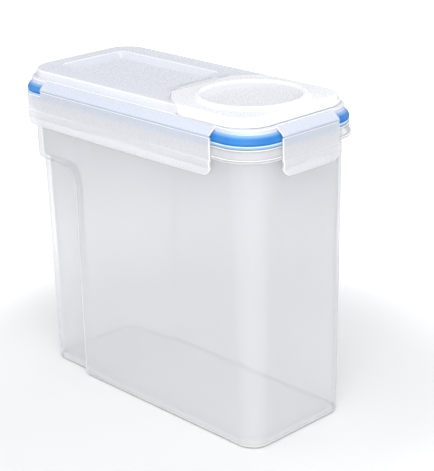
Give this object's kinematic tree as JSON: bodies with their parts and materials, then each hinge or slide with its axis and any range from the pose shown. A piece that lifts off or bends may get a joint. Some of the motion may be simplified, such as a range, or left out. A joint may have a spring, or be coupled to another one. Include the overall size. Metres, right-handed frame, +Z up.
{
  "type": "cereal container",
  "caption": "tall translucent plastic box with a clip-down lid sealed by a blue gasket, flaps on all four sides and a hinged flip cap over a round pour opening",
  "frame": {"origin": "centre of the container's base, on the surface it stands on", "axes": "X along the container's length towards the pouring end, Y across its width, Z up"},
  "size_m": [0.216, 0.102, 0.204],
  "materials": {
    "body_plastic": "frosted clear polypropylene",
    "lid_plastic": "milky translucent polypropylene",
    "cap_plastic": "milky white polypropylene",
    "seal_rubber": "blue silicone"
  },
  "bodies": {
    "container": {"container_body": "body_plastic"},
    "lid": {"lid_panel": "lid_plastic", "lid_gasket": "seal_rubber", "near_hinge_web": "lid_plastic", "far_hinge_web": "lid_plastic", "front_hinge_web": "lid_plastic", "rear_hinge_web": "lid_plastic"},
    "near_flap": {"near_flap": "lid_plastic"},
    "far_flap": {"far_flap": "lid_plastic"},
    "front_flap": {"front_flap": "lid_plastic"},
    "rear_flap": {"rear_flap": "lid_plastic"},
    "cap": {"flip_cap": "cap_plastic", "cap_seal": "seal_rubber"}
  },
  "joints": [
    {"name": "lid_lift", "type": "slide", "parent": "container", "child": "lid", "axis": [0, 0, 1], "range_m": [0, 0.06]},
    {"name": "near_flap_hinge", "type": "hinge", "parent": "lid", "child": "near_flap", "pos_m": [0, -0.0496, 0.191], "axis": [-1, 0, 0], "range_deg": [0, 170], "deforming": ["near_hinge_web"]},
    {"name": "far_flap_hinge", "type": "hinge", "parent": "lid", "child": "far_flap", "pos_m": [0, 0.0496, 0.191], "axis": [1, 0, 0], "range_deg": [0, 170], "deforming": ["far_hinge_web"]},
    {"name": "front_flap_hinge", "type": "hinge", "parent": "lid", "child": "front_flap", "pos_m": [0.1066, 0, 0.191], "axis": [0, -1, 0], "range_deg": [0, 170], "deforming": ["front_hinge_web"]},
    {"name": "rear_flap_hinge", "type": "hinge", "parent": "lid", "child": "rear_flap", "pos_m": [-0.1066, 0, 0.191], "axis": [0, 1, 0], "range_deg": [0, 170], "deforming": ["rear_hinge_web"]},
    {"name": "cap_hinge", "type": "hinge", "parent": "lid", "child": "cap", "pos_m": [0.0144, 0, 0.1998], "axis": [0, -1, 0], "range_deg": [0, 100]}
  ]
}
